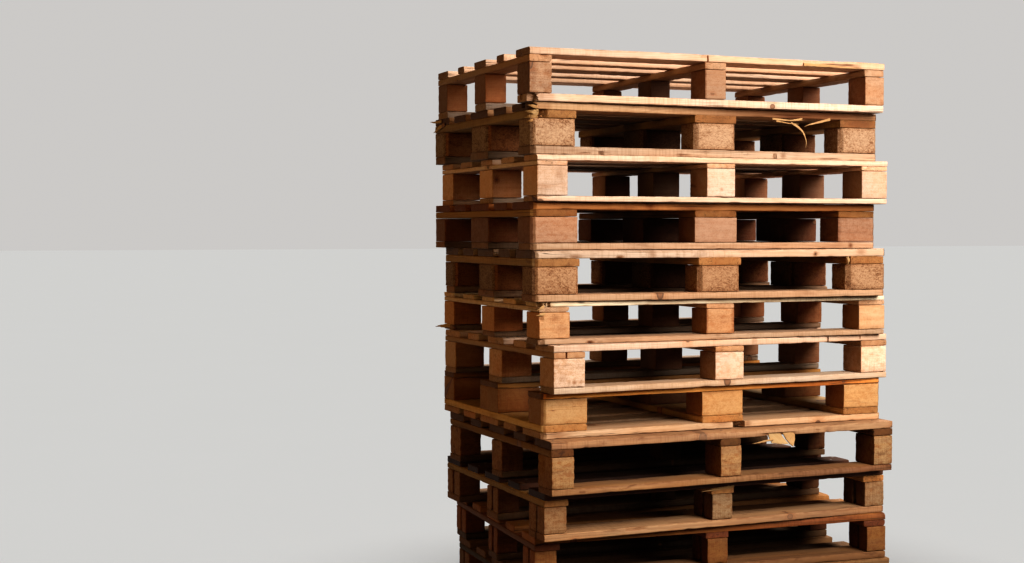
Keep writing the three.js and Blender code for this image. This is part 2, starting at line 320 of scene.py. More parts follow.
class Pallet:
    """One pallet's spans, levels and place in the stack."""

    corner = nudge = 0
    deck_ends = stringer_ends = front = 1.0
    upside_down = False

    def __init__(self, number, foot, mid, facts):
        self.number, self.foot, self.mid = number, foot, mid
        self.__dict__.update(facts)
        self.sawn = [layer - less for layer, less in zip(self.thick, THINNER)]
        deck, stringer, block, bottom = self.thick
        self.block_foot = bottom
        self.block_top = bottom + block
        self.stringer_top = self.block_top + stringer
        self.top = self.stringer_top + deck
        gap = (DEEP - sum(self.deck)) / (len(self.deck) - 1)
        starts = np.cumsum([0] + [w + gap for w in self.deck[:-1]])
        self.deck_rows = [(a, a + w) for a, w in zip(starts, self.deck)]
        self.block_rows = three_spans(DEEP, self.deep, self.middle)
        self.block_columns = three_spans(LONG, self.along, self.along, self.nudge)
        self.stringer_columns = three_spans(LONG, self.stringer, self.stringer, self.nudge)

    def named(self, part):
        return f"pallet_{self.number:02d}_{part}"

    def deck_nodes(self, part, kinds):
        """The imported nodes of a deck: one for each board of pallet 1, one for any other deck."""
        if self.number > 1:
            return [self.named("deck")]
        return [self.named(f"{part}_{kind}") for kind in kinds]

    def runner_nodes(self):
        return [self.named(f"runner_{row}") for row in ("front", "middle", "rear")]

    def cut_corners(self, left, right, near, far):
        """Cuts of the upright corners that a timber reaches: (0 left or 1 right, 0 near or 1 far, leg)."""
        columns = [x for x, reached in enumerate((left, right)) if reached]
        rows = [y for y, reached in enumerate((near, far)) if reached]
        return [(x, y, self.corner) for x in columns for y in rows if self.corner]

    def place(self, points):
        """Points of the pallet's own corner, as points of the shared frame in metres."""
        p = np.array(points, float)
        if self.upside_down:
            p = np.column_stack([p[:, 0], DEEP - p[:, 1], self.top - p[:, 2]])
        return turned(p, self.turn, self.at, self.mid, self.foot) / MM

    def aim(self, ways):
        """Directions of the pallet's own corner, as directions of the shared frame."""
        w = np.array(ways, float)
        if self.upside_down:
            w = w * (1, -1, -1)
        return turned(w, self.turn, (0, 0), (0, 0), 0)


def stack_of_pallets():
    """Every pallet, from the top of the stack, which stands on the floor round the frame's origin."""
    corners = np.array([[x, y, 0] for x in (0, LONG) for y in (0, DEEP)])
    spread = np.vstack([turned(corners, f["turn"], f["at"], (0, 0), 0) for f in PALLETS])
    mid = (spread.min(axis=0) + spread.max(axis=0)) / 2
    foot = sum(sum(f["thick"]) for f in PALLETS) + REST * (len(PALLETS) - 1)
    stack = []
    for number, facts in enumerate(PALLETS, 1):
        foot -= sum(facts["thick"])
        stack.append(Pallet(number, foot, mid[:2], facts))
        foot -= REST
    return stack


def ripple(rng, shortest, longest, waves=6):
    """A smooth random curve between about -1 and 1, with waves of those lengths."""
    lengths = np.exp(rng.uniform(math.log(shortest), math.log(longest), waves))
    phases = rng.uniform(0, 2 * math.pi, waves)
    sizes = rng.uniform(0.5, 1, waves)

    def curve(x):
        parts = (a * np.sin(2 * math.pi * x / wave + p) for a, wave, p in zip(sizes, lengths, phases))
        # waves seldom peak together, so their sum is stretched
        return sum(parts) / sizes.sum() * 1.6

    return curve


def stations(length, arris, step, marks=()):
    """Where points lie along a side: close at its arrises and round each mark (place, reach, spacing)."""
    rows = [0, arris * 0.45, length - arris * 0.45, length]
    rows += list(np.linspace(arris, length - arris, max(1, round((length - 2 * arris) / step)) + 1))
    for place, reach, spacing in marks:
        near = np.arange(place - reach, place + reach + spacing / 2, spacing)
        rows = [r for r in rows if abs(r - place) > reach + spacing / 2 or r in (0, length)]
        rows += [r for r in near if arris * 0.3 < r < length - arris * 0.3]
    return np.unique(np.round(rows, 3))


def lattice(xs, ys, zs):
    """The points and outward quads of a box whose sides carry those rows."""
    n = (len(xs), len(ys), len(zs))
    grid = np.stack(np.meshgrid(xs, ys, zs, indexing="ij"), axis=-1).reshape(-1, 3)
    place = np.indices(n).reshape(3, -1).T
    skin = ((place == 0) | (place == np.array(n) - 1)).any(axis=1)
    ids = np.full(len(grid), -1)
    ids[skin] = np.arange(skin.sum())
    ids = ids.reshape(n)

    def side(sheet, flip):
        corners = [sheet[:-1, :-1], sheet[1:, :-1], sheet[1:, 1:], sheet[:-1, 1:]]
        q = np.stack(corners, axis=-1).reshape(-1, 4)
        return q[:, ::-1] if flip else q

    quads = np.vstack([
        side(ids[0], True), side(ids[-1], False),
        side(ids[:, 0], False), side(ids[:, -1], True),
        side(ids[:, :, 0], True), side(ids[:, :, -1], False),
    ])
    return grid[skin], quads


class Timber:
    """One board or block: a sawn box with worn arrises, and the log that it was cut from.

    flat holds the exact box's points, and points the worn timber's. Painted on them are log, the place in
    the log; wear, the nearness to an arris and to an end, and the end cut; tone, the colour, with painted
    light and shade on some sides, and the age; and mark, the darkness of each knot, stain and painted shadow."""

    def __init__(self, rng, size, corner, tone, age, across=False, block=False, bites=(), knots_and_shadows=(), cuts=(),
                 painted_shading=(), wear=1.0, wane=0.0, bow=0.0, ends=1.0, rim=RIM):
        self.across, self.corner, self.size, self.bow = across, corner, size, bow
        step, side_step, up_step, fine_step, arris = BLOCK_GRID if block else BOARD_GRID
        marks = ([], [])
        for side, at, reach, *_ in bites:
            marks[SIDES[side][0]].append((at, reach + 2, max(1.2, reach / 7)))
        for side, at, _, reach, *_ in knots_and_shadows:
            marks[SIDES[side][0]].append((at, reach * 1.3, max(1.5, reach / 6)))
        for *far_ends, leg in cuts:
            for axis, far in enumerate(far_ends):
                marks[axis].append((size[axis] - leg if far else leg, 1.5, 1.5))
        xs = stations(size[0], arris, step, marks[0])
        ys = stations(size[1], arris, side_step, marks[1])
        zs = stations(size[2], arris, fine_step if knots_and_shadows else up_step)
        self.flat, self.quads = lattice(xs, ys, zs)
        box = np.array(size, float)
        edge = np.sort(np.minimum(self.flat, box - self.flat), axis=1)[:, 1]
        self.end = np.minimum(self.flat[:, 0], size[0] - self.flat[:, 0])
        end_cut = (self.end < arris * 0.4) * ends
        self.wear = np.column_stack([np.exp(-edge / rim), np.exp(-self.end / 70), end_cut])
        self.mark = np.zeros((len(self.flat), 1))
        for knot in knots_and_shadows:
            self.paint_knot(rng, *knot)

        inner = np.clip(self.flat, arris, box - arris)
        away = self.flat - inner
        far = np.linalg.norm(away, axis=1)
        away[far > 0] *= (arris / far[far > 0])[:, None]
        self.points = inner + away
        self.wear_down(rng, wear, wane)
        for bite in bites:
            self.bite(rng, *bite)
        for cut in cuts:
            self.cut_upright(*cut)
        self.points[:, 2] += self.bow * 4 * self.share(0) * (1 - self.share(0))
        self.take_from_log(rng, tone, age, block)
        # painted light and shade: sides that keep more or less of the tone than the rest of the timber
        for side, kept in painted_shading:
            _, axis, far = SIDES[side]
            on_side = np.abs(self.flat[:, axis] - far * size[axis]) < 0.01
            self.tone[on_side, :3] *= kept

    def share(self, axis):
        """How far every point lies along an axis, as a share of the timber."""
        return self.flat[:, axis] / self.size[axis]

    def seen_from(self, side):
        """How far every point lies along a side, and how far behind it."""
        run, axis, far = SIDES[side]
        place = self.flat[:, axis]
        return self.flat[:, run], self.size[axis] - place if far else place

    def paint_knot(self, rng, side, at, high, reach, tall, dark):
        """A dark spot with a ragged rim, which fades into the wood behind the side: a knot, a stain or a
        painted shadow.
        """
        run, behind = self.seen_from(side)
        up = self.flat[:, 2]
        ragged = 1 + 0.22 * ripple(rng, 4, 30, 4)(run + 2.3 * up)
        near = np.hypot((run - at) / reach, (up - high) / tall) * ragged
        spot = dark * np.clip(1.25 - near * 0.8, 0, 1) * np.exp(-behind / 14)
        self.mark[:, 0] = np.maximum(self.mark[:, 0], spot)

    def wear_down(self, rng, wear, wane):
        """Bruises and chips along the long arrises, a bark edge on one, rough ends and uneven faces."""
        p, q = self.flat, self.points
        _, width, thick = self.size
        for sy in (0, 1):
            for sz in (0, 1):
                bruise, patch = ripple(rng, 18, 260)(p[:, 0]), ripple(rng, 300, 1500, 3)(p[:, 0])
                near = np.hypot(p[:, 1] - sy * width, p[:, 2] - sz * thick)
                bark = wane * (sy == 0) * (sz == 1) * np.clip(patch + 0.4, 0, 1)
                depth = (0.5 + 2.6 * np.clip(bruise - 0.35, 0, None) + bark) * wear
                push = depth * np.clip(1 - near / (5 + 2.0 * depth), 0, 1)
                q[:, 1] += push * (1 - 2 * sy)
                q[:, 2] += push * (1 - 2 * sz) * 0.8
        rough = ripple(rng, 8, 70)(p[:, 1] + 3 * p[:, 2]) * 0.7
        slant = rng.normal(0, 0.006) * (p[:, 1] - width / 2)
        inward = 1 - 2 * (self.share(0) > 0.5)
        q[:, 0] += (rough + slant) * wear * inward * np.exp(-self.end / 6)
        q[:, 1] += ripple(rng, 120, 900)(p[:, 0]) * 0.7 * wear
        q[:, 2] += ripple(rng, 150, 900)(p[:, 0]) * 0.25 * wear

    def bite(self, rng, side, at, reach, depth, low, high):
        """A hollow torn out of a side, deepest at its place and nothing at its reach."""
        run, behind = self.seen_from(side)
        _, axis, far = SIDES[side]
        ragged = 1 + 0.35 * ripple(rng, 3, max(8.0, reach))(run + 5 * self.flat[:, 2])
        tall = np.clip(np.minimum(self.share(2) - low, high - self.share(2)) * 9, 0, 1)
        swell = np.clip(1 - ((run - at) / reach) ** 2, 0, 1) ** 0.8
        push = depth * swell * ragged * tall * np.clip(1 - behind / (3.2 * depth + 4), 0, 1)
        self.points[:, axis] += -push if far else push
        self.wear[:, 2] = np.maximum(self.wear[:, 2], np.clip(push / 3 - 0.4, 0, 0.6))

    def cut_upright(self, x_end, y_end, leg):
        """Cuts an upright edge at 45 degrees."""
        q = self.points
        x_way, y_way = 1 - 2 * x_end, 1 - 2 * y_end
        inside = (q[:, 0] - x_end * self.size[0]) * x_way + (q[:, 1] - y_end * self.size[1]) * y_way
        push = np.clip(leg + 0.9 * np.sin(self.flat[:, 2] / 6 + 3 * x_end) - inside, 0, None) / 2
        q[:, 0] += push * x_way
        q[:, 1] += push * y_way

    def take_from_log(self, rng, tone, age, block):
        """Rings lie round a pith that runs outside the timber or through it, not quite parallel with it."""
        length, width, thick = self.size
        if block:
            pith = np.array([rng.uniform(-0.3, 1.3) * width, rng.uniform(-0.6, 1.2) * thick])
        else:
            pith = np.array([width / 2 + rng.normal(0, width * 0.35), -rng.uniform(8, 85)])
            if rng.random() < 0.5:
                pith[1] = thick - pith[1]
        lean = rng.normal(0, 0.012, 2)
        from_pith = self.flat[:, 1:] - pith - lean * (self.flat[:, :1] - length / 2)
        along = self.flat[:, 0] / MM + rng.uniform(0, LOG_REACH)
        self.log = np.column_stack([along, from_pith * rng.uniform(0.75, 1.35) / MM])
        shade = rng.normal(0, 0.05)
        warm = rng.normal(0, 0.02)
        colour = np.array(tone) * (1 + shade) * (1 + warm, 1, 1 - warm)
        own_age = np.clip(age + rng.normal(0, 0.08), 0, 1)
        self.tone = np.tile([*colour, own_age], (len(self.flat), 1))

    def in_pallet(self):
        """The points in the pallet's own corner."""
        p = self.points
        if self.across:
            p = np.column_stack([self.size[1] - p[:, 1], p[:, 0], p[:, 2]])
        return p + np.array(self.corner, float)


def torn_piece(points, quads, run, rng):
    """A torn piece that isn't a sawn box, with the same attributes as a timber. Its fibres follow run."""
    made = Timber.__new__(Timber)
    made.quads, made.points = np.array(quads), np.array(points, float)
    a, b, c, d = (made.points[made.quads[:, k]] for k in range(4))
    if np.sum(a * (np.cross(b, c) + np.cross(c, d))) < 0:
        made.quads = made.quads[:, ::-1]
    made.corner, made.across = (0, 0, 0), False
    count = len(points)
    made.wear = np.tile([0.15, 0.5, 0.1], (count, 1))
    made.mark = np.zeros((count, 1))
    made.tone = np.tile([*FRESH, 0.05], (count, 1))
    across = np.cross(run, (0.3, 0.2, 1.0))
    across /= np.linalg.norm(across)
    other = np.cross(run, across)
    p = made.points
    along = p @ run / MM + rng.uniform(0, LOG_REACH)
    made.log = np.column_stack([along, p @ across / MM + 0.03, p @ other / MM + 0.02])
    return made


def strand(rng, width, thick, *path):
    """A torn strand: a flat, tapering prism along a smooth path."""
    n = 18
    path = np.array(path, float)
    steps = np.concatenate([[0], np.cumsum(np.linalg.norm(np.diff(path, axis=0), axis=1))])
    s = np.linspace(0, 1, n + 1)
    line = np.column_stack([np.interp(s * steps[-1], steps, path[:, k]) for k in range(3)])
    for _ in range(3):
        line[1:-1] = (line[:-2] + 2 * line[1:-1] + line[2:]) / 4
    run = np.gradient(line, axis=0)
    run /= np.linalg.norm(run, axis=1)[:, None]
    spread = np.ptp(path, axis=0)
    out = np.eye(3)[1 if spread[0] + spread[2] > spread[1] else 0]
    side = np.cross(run, out)
    side /= np.linalg.norm(side, axis=1)[:, None]
    out = np.cross(side, run)
    wobble = ripple(rng, 0.25, 0.9, 4)(s)
    line = line + side * (wobble * width * 0.10 * s)[:, None]
    w = (width / 2 * (1 - s ** 1.6) + 0.35)[:, None] * (1 + 0.12 * rng.normal(size=(n + 1, 1)))
    t = (thick / 2 * (1 - 0.75 * s) + 0.2)[:, None]
    ring = [(-1, -0.5), (0, -1), (0.9, -0.4), (1, 0.5), (0.1, 1), (-0.8, 0.6)]
    points = np.stack([line + side * (w * a) + out * (t * b) for a, b in ring], axis=1).reshape(-1, 3)
    quads = wrapped(n, 6)
    for e in (range(5, -1, -1), range(n * 6, n * 6 + 6)):
        quads += [(e[0], e[1], e[2], e[3]), (e[0], e[3], e[4], e[5])]
    return torn_piece(points, quads, run[n // 2], rng)


def wrapped(layers, count):
    """Quads between closed rings of that many points, one ring after another."""
    steps = [(i * count, k, (k + 1) % count) for i in range(layers) for k in range(count)]
    return [(low + k, low + after, low + count + after, low + count + k) for low, k, after in steps]


def flake(rng, behind, thick, *outline):
    """A torn flake: a thin plate with a ragged outline, a little curled."""
    corners = np.array(outline, float)
    rim = []
    for a, b in zip(corners, np.roll(corners, -1, axis=0)):
        steps = max(2, round(np.linalg.norm(b - a) / 4))
        rim += [a + (b - a) * k / steps + rng.normal(0, 0.5, 2) for k in range(steps)]
    rim = np.array(rim[len(rim) % 2:])
    if np.sum(rim[:, 0] * np.roll(rim[:, 1], -1) - rim[:, 1] * np.roll(rim[:, 0], -1)) < 0:
        rim = rim[::-1]
    m = len(rim)
    middle = rim.mean(axis=0)
    top = rim[:, 1].max()
    layers = []
    for far, shares in ((0, (0.02, 0.5, 0.86, 1.0)), (1, (1.0, 0.86, 0.5, 0.02))):
        for share in shares:
            q = middle + (rim - middle) * share
            rounding = 0.0 if share < 1 else 0.7 - 1.4 * far
            curl = -((top - q[:, 1]) / 40) ** 2 * 5
            layers.append(np.column_stack([q[:, 0], behind + curl + (thick * far + rounding), q[:, 1]]))
    quads = [(a, d, c, b) for a, b, c, d in wrapped(7, m)]
    for base, order in ((0, 1), (7 * m, -1)):
        quads += [(base, base + k, base + k + 1, base + k + 2)[::order] for k in range(1, m - 2, 2)]
    return torn_piece(np.vstack(layers), quads, np.array([0.7, 0, -0.7]), rng)


def inner_shade(pallet, points):
    """Share of its tone that wood keeps, as painted shade deep inside a pallet, but not on the open top deck.
    """
    x, y, z = points.T
    depth = np.minimum(np.minimum(x, LONG - x), np.minimum(y, DEEP - y))
    deep = np.clip((depth - PAINTED_SHADE_START) / PAINTED_SHADE_SPAN, 0, 1)
    if pallet.number == 1:
        deep = deep * (z < pallet.block_top - 1)
    return 1 - PAINTED_SHADE * deep * deep * (3 - 2 * deep)


def add_object(name, data):
    made = bpy.data.objects.new(name, data)
    bpy.context.scene.collection.objects.link(made)
    return made


def solid_piece(kind, pallet, timbers, finish, nodes=()):
    """One object of several timbers, at the origin, with the timbers' attributes on its points."""
    name = f"{kind}_{pallet.number:02d}"
    points, quads, start = [], [], 0
    for timber in timbers:
        own = timber.in_pallet()
        # painted shade deep inside the pallet darkens the tone
        timber.tone[:, :3] *= inner_shade(pallet, own)[:, None]
        points.append(pallet.place(own))
        quads.append(timber.quads + start)
        start += len(own)
    points, quads = np.vstack(points), np.vstack(quads)
    mesh = bpy.data.meshes.new(name)
    mesh.vertices.add(len(points))
    mesh.vertices.foreach_set("co", points.astype(np.float32).ravel())
    mesh.loops.add(quads.size)
    mesh.loops.foreach_set("vertex_index", quads.astype(np.int32).ravel())
    mesh.polygons.add(len(quads))
    mesh.polygons.foreach_set("loop_start", np.arange(0, quads.size, 4, dtype=np.int32))
    mesh.polygons.foreach_set("use_smooth", np.ones(len(quads), dtype=bool))
    for label, sort, field in (
        ("log", "FLOAT_VECTOR", "vector"),
        ("wear", "FLOAT_VECTOR", "vector"),
        ("tone", "FLOAT_COLOR", "color"),
        ("mark", "FLOAT", "value"),
    ):
        values = np.vstack([getattr(timber, label) for timber in timbers]).astype(np.float32)
        mesh.attributes.new(label, sort, "POINT").data.foreach_set(field, values.ravel())
    mesh.update(calc_edges=True)
    mesh.validate()
    mesh.set_sharp_from_angle(angle=math.radians(SHARP))
    mesh.materials.append(material(finish))
    finish_piece(add_object(name, mesh), nodes)


def finish_piece(piece, nodes=()):
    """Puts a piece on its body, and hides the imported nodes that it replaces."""
    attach(piece, "root")
    if nodes:
        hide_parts(*nodes)


def seeded(pallet, kind, number=0):
    return np.random.default_rng([pallet.number, sum(map(ord, kind)), number, 7])


def marks_of(pallet, kind, number):
    """The bites and the painted dark marks of one timber, painted shadows among them."""
    key = (pallet.number, kind, number)
    bites, knots_and_shadows = ([(row[3], *mark) for row in table if row[:3] == key for mark in row[4:]]
                    for table in (BITES, KNOTS_AND_SHADOWS))
    return dict(bites=bites, knots_and_shadows=knots_and_shadows)


def bark_edge(rng):
    """Depth of the bark edge that some boards have."""
    return BARK if rng.random() < BARK_CHANCE else 0.0


def deck_timbers(pallet):
    made = []
    for i, (a, b) in enumerate(pallet.deck_rows):
        rng = seeded(pallet, "deck", i)
        bow = min(rng.normal(0, 0.8), 0.4)
        size = (LONG - rng.uniform(0, SHORTER), b - a - rng.uniform(0, NARROWER), pallet.sawn[0])
        corner = (rng.uniform(0, SHIFT), a + SEAM, pallet.stringer_top + RISE[0])
        cuts = pallet.cut_corners(True, True, i == 0, i == len(pallet.deck) - 1)
        made.append(Timber(rng, size, corner, pallet.tones[0], pallet.age, wane=bark_edge(rng), bow=bow,
                           cuts=cuts, ends=pallet.deck_ends, **marks_of(pallet, "deck", i)))
    return made


def stringer_timbers(pallet):
    made = []
    for i, (a, b) in enumerate(pallet.stringer_columns):
        rng = seeded(pallet, "stringer", i)
        size = (DEEP - rng.uniform(0, SHORTER), b - a - rng.uniform(0, NARROWER), pallet.sawn[1])
        corner = (a + SEAM, rng.uniform(0, SHIFT), pallet.block_top + RISE[1])
        cuts = [(y, 1 - x, leg) for x, y, leg in pallet.cut_corners(i == 0, i == 2, True, True)]
        # painted shade on the left stringer's left side
        made.append(Timber(rng, size, corner, pallet.tones[1], pallet.age + 0.05, across=True, cuts=cuts,
                           painted_shading=[("rear", pallet.left[1])] * (i == 0), ends=pallet.stringer_ends,
                           **marks_of(pallet, "stringer", i)))
    return made


def bottom_timbers(pallet):
    made = []
    for i, (a, b) in enumerate(pallet.block_rows):
        rng = seeded(pallet, "bottom", i)
        start = rng.uniform(0, SHIFT)
        length, width = LONG - start - rng.uniform(0, SHIFT), b - a - rng.uniform(0, NARROWER)
        # painted shade on the left end, the underside and the inward front; painted light on the front-facing
        # side of an upside-down pallet's rear board
        painted_shading = [("left", pallet.left[2]), ("under", UNDERSIDE_SHADE)]
        painted_shading += [("rear", pallet.front)] * (i == 2) + [("front", INWARD_BOARD_SHADE)] * (i > 0)
        made.append(Timber(rng, (length, width, pallet.sawn[3]), (start, a + SEAM, RISE[3]),
                           pallet.tones[3], pallet.age + 0.08, wane=bark_edge(rng), painted_shading=painted_shading,
                           cuts=pallet.cut_corners(True, True, i == 0, i == 2),
                           **marks_of(pallet, "bottom", i)))
    return made


def block_timbers(pallet):
    made = []
    chip = pallet.blocks == "chip"
    for i, (near, far) in enumerate(pallet.block_rows):
        spans = [(near, far)]
        if pallet.blocks == "twin":
            spans = [(near, (near + far - TWIN_GAP) / 2), ((near + far + TWIN_GAP) / 2, far)]
        for k, (left, right) in enumerate(pallet.block_columns):
            cuts = pallet.cut_corners(k == 0, k == 2, i == 0, i == 2)
            if chip:
                cuts = [(x, y, CHIP_CUT) for x in (0, 1) for y in (0, 1)]
            # painted light and shade on the left side of the left column
            painted_shading = [("left", pallet.left[0])] * (k == 0)
            # painted shade on the sides that face another block
            painted_shading += [("front", INWARD_SHADE[k])] * (i > 0) + [("rear", INWARD_SHADE[k])] * (i < 2)
            for a, b in spans:
                number = len(made)
                rng = seeded(pallet, "block", number)
                length, width = (whole - rng.uniform(0, BLOCK_SMALLER) for whole in (right - left, b - a))
                x, y = (place + rng.uniform(0, BLOCK_SHIFT) for place in (left, a))
                corner = (x, y, pallet.block_foot + RISE[2])
                made.append(Timber(rng, (length, width, pallet.sawn[2]), corner, pallet.tones[2],
                                   pallet.age * 0.8, block=True, cuts=cuts, painted_shading=painted_shading,
                                   wear=0.7 + 1.6 * pallet.age, rim=CHIP_RIM if chip else RIM,
                                   **marks_of(pallet, "block", number)))
    return made


class Wire:
    """An output of a shader tree that can be used in sums."""

    def __init__(self, shader, socket):
        self.shader, self.socket = shader, socket

    def sum(self, operation, *others):
        return self.shader.node("Math", {"operation": operation}, self, *others)

    def __add__(self, other):
        return self.sum("ADD", other)

    def __sub__(self, other):
        return self.sum("SUBTRACT", other)

    def __rsub__(self, other):
        return self.shader.node("Math", {"operation": "SUBTRACT"}, other, self)

    def __mul__(self, other):
        return self.sum("MULTIPLY", other)

    def __truediv__(self, other):
        return self.sum("DIVIDE", other)

    __radd__, __rmul__ = __add__, __mul__

    def most(self, limit):
        return self.sum("MINIMUM", limit)

    def ramp(self, low, high):
        """0 at low, 1 at high, smooth between them. low may be above high."""
        return self.shader.node("MapRange", {"interpolation_type": "SMOOTHSTEP"}, self, low, high, 0.0, 1.0)


def feed(tree, socket, value):
    """Links a wire or an output to an input, or sets the input's value."""
    value = getattr(value, "socket", value)
    if isinstance(value, bpy.types.NodeSocket):
        tree.links.new(value, socket)
    else:
        socket.default_value = value


def new_node(tree, kind, settings, *values, **named):
    """The outputs of a new node. Values feed its inputs in order, or by name with _ for a space."""
    made = tree.nodes.new(kind)
    for key, value in settings.items():
        setattr(made, key, value)
    for slot, value in [*enumerate(values), *named.items()]:
        feed(tree, made.inputs[slot.replace("_", " ") if isinstance(slot, str) else slot], value)
    return made.outputs


class Shader:
    """A new material and short ways to add nodes to it."""

    def __init__(self, name):
        self.material = bpy.data.materials.new(name)
        self.material.use_nodes = True
        self.tree = self.material.node_tree
        self.skin = self.tree.nodes["Principled BSDF"]

    def node(self, kind, settings, *values, out=0, **named):
        return Wire(self, new_node(self.tree, "ShaderNode" + kind, settings, *values, **named)[out])

    def attribute(self, name, out):
        return self.node("Attribute", {"attribute_name": name}, out=out)

    def split(self, vector):
        """The three parts of a vector."""
        return [Wire(self, part) for part in new_node(self.tree, "ShaderNodeSeparateXYZ", {}, vector)]

    def vector(self, operation, a, b):
        return self.node("VectorMath", {"operation": operation}, a, b)

    def noise(self, vector, factors, detail=2.0, roughness=0.5, out=0):
        place = self.vector("MULTIPLY", vector, factors)
        return self.node("TexNoise", {}, out=out, Vector=place, Scale=1.0, Detail=detail, Roughness=roughness)

    def cells(self, vector, dimensions="3D"):
        """Distance to the nearest of scattered points, and a random number of that point's own."""
        near = self.node("TexVoronoi", {"voronoi_dimensions": dimensions}, Vector=vector, Scale=1.0)
        return near, self.node("SeparateColor", {}, near.socket.node.outputs["Color"])

    def mix(self, factor, a, b, kind="MIX"):
        made = self.tree.nodes.new("ShaderNodeMix")
        made.data_type, made.blend_type = "RGBA", kind
        for index, value in ((0, factor), (6, a), (7, b)):
            feed(self.tree, made.inputs[index], (*value, 1.0) if isinstance(value, tuple) else value)
        return Wire(self, made.outputs[2])

    def shade(self, colour, *layers):
        """The colour, multiplied by each layer's tint where the layer's factor is 1."""
        for factor, tint in layers:
            colour = self.mix(factor, colour, self.mix(1.0, colour, tint, "MULTIPLY"))
        return colour

    def finish(self, colour, roughness, height=None, depth=0.0, strength=0.0):
        feed(self.tree, self.skin.inputs["Base Color"], colour)
        feed(self.tree, self.skin.inputs["Roughness"], roughness)
        if height is not None:
            bump = self.node("Bump", {}, Strength=strength, Distance=depth, Height=height)
            feed(self.tree, self.skin.inputs["Normal"], bump)
        return self.material


def sawn_wood(looks, name, mottle):
    """Rough-sawn softwood: growth rings, the knot of each branch, drying cracks, saw marks, dirt and grey
    weathering, and painted shadows.

    mottle is 0 on boards, where the grain shows, and 1 on blocks, whose faces are patchy instead."""
    s = Shader(name)
    log = s.attribute("log", "Vector")
    tone, age = s.attribute("tone", "Color"), s.attribute("tone", "Alpha")
    mark = s.attribute("mark", "Fac")
    arris, end, cut = s.split(s.attribute("wear", "Vector"))

    # rings, bent a little by a slow noise
    stray = s.vector("SUBTRACT", s.noise(log, (2.2, 13.0, 13.0), out="Color"), (0.5, 0.5, 0.5))
    x, y, z = s.split(s.vector("ADD", log, s.vector("MULTIPLY", stray, (0.0, 0.020, 0.020))))
    radius = (y * y + z * z).sum("SQRT")
    angle = z.sum("ARCTAN2", y)

    # knots: a side branch runs outwards from the pith, so its cut is round where rings are flat
    near, luck = s.cells(s.node("CombineXYZ", {}, x * 4.2, angle * 0.42, 0.0), "2D")
    branch = (4.0 + luck * 8.0) * (0.35 + radius * 9.0).most(1.2)
    has = luck.ramp(0.42, 0.46)
    reach = near * 238.0 / branch
    knot = (reach.ramp(1.12, 0.9) * has * 0.88).sum("MAXIMUM", mark.ramp(0.78, 1.0))
    halo = reach.ramp(3.2, 0.7) * has + mark * 0.5

    ring = radius * (MM / looks.ring_spacing_mm) + s.noise(log, (2.2, 9.0, 9.0)) * 2.6 + halo * 1.5
    turn = ring.sum("FRACT")
    late = turn.ramp(0.2, 0.88) * turn.ramp(1.0, 0.93)
    fibre = s.noise(log, (9.0, 620.0, 620.0), 2.0, 0.6)
    streak = s.noise(log, (1.3, 70.0, 70.0), 3.0, 0.55)
    blotch = s.noise(log, (6.0, 18.0, 18.0), 3.0, 0.6)
    cloud = s.noise(log, (2.6, 7.0, 7.0))
    blush = s.noise(log, (4.7, 26.0, 31.0))
    colour = s.shade(
        tone,
        (late * (0.20 + 0.28 * cut) * (1 - 0.45 * mottle), (0.62, 0.42, 0.27)),
        (streak.ramp(0.40, 0.74) * (0.48 - 0.28 * mottle), (0.76, 0.60, 0.46)),
        (fibre.ramp(0.48, 0.66) * (0.30 - 0.12 * mottle), (0.66, 0.56, 0.46)),
    )
    if mottle:
        spots = s.noise(log, (60.0, 85.0, 85.0), 3.0, 0.6)
        grit = s.noise(log, (330.0, 330.0, 330.0), 2.0, 0.6)
        colour = s.shade(
            colour,
            (spots.ramp(0.49, 0.62) * (0.22 + 1.4 * age), (0.80, 0.60, 0.41)),
            (spots.ramp(0.47, 0.36) * (0.20 + 0.9 * age), (1.18, 1.22, 1.26)),
            (grit.ramp(0.50, 0.64) * (0.34 + 1.0 * age), (0.68, 0.54, 0.40)),
        )
    colour = s.shade(
        colour,
        (cloud.ramp(0.42, 0.72) * 0.50, (1.03, 0.82, 0.60)),
        (blush.ramp(0.50, 0.72) * 0.25, (1.0, 0.88, 0.80)),
        (blush.ramp(0.46, 0.30) * 0.30, (1.07, 1.10, 1.12)),
        # the painted dark marks: each knot, stain and painted shadow, with the halo spreading their tint
        ((halo * 0.42).most(0.6), (0.78, 0.50, 0.30)),
        ((mark * 1.15).most(1.0), (0.42, 0.26, 0.14)),
    )
    heart = s.mix(reach.ramp(0.55, 1.0), tuple(looks.knot), (0.05, 0.022, 0.010))
    colour = s.mix(knot, colour, heart)

    # grey weathering in patches that follow the grain
    film = (streak * 0.6 + blotch * 0.4 + age * 0.62).ramp(0.60, 0.98) * (0.20 + age * 0.70)
    dull = s.node("HueSaturation", {}, Color=tone, Saturation=0.75, Value=0.72)
    colour = s.mix(film * 0.72, colour, s.mix(1.0, dull, tuple(looks.weathered), "MULTIPLY"))

    # handling dirt, in patches, in stains and on bruised arrises, and darker end cuts
    stain = s.noise(log, (11.0, 34.0, 34.0), 4.0, 0.62)
    bruised = arris * s.noise(log, (40.0, 90.0, 90.0)).ramp(0.42, 0.6)
    colour = s.shade(
        colour,
        (blotch.ramp(0.56, 0.74) * (0.14 + age * 0.70), (0.52, 0.38, 0.27)),
        (stain.ramp(0.61, 0.68) * (0.12 + age * 0.85), (0.40, 0.27, 0.18)),
        (bruised * (0.40 + 0.6 * age), (0.60, 0.47, 0.36)),
        (cut.most(1.0) * 0.80, (0.62, 0.47, 0.34)),
        (cut.ramp(1.0, 2.0) * 0.85, (0.20, 0.17, 0.15)),
    )

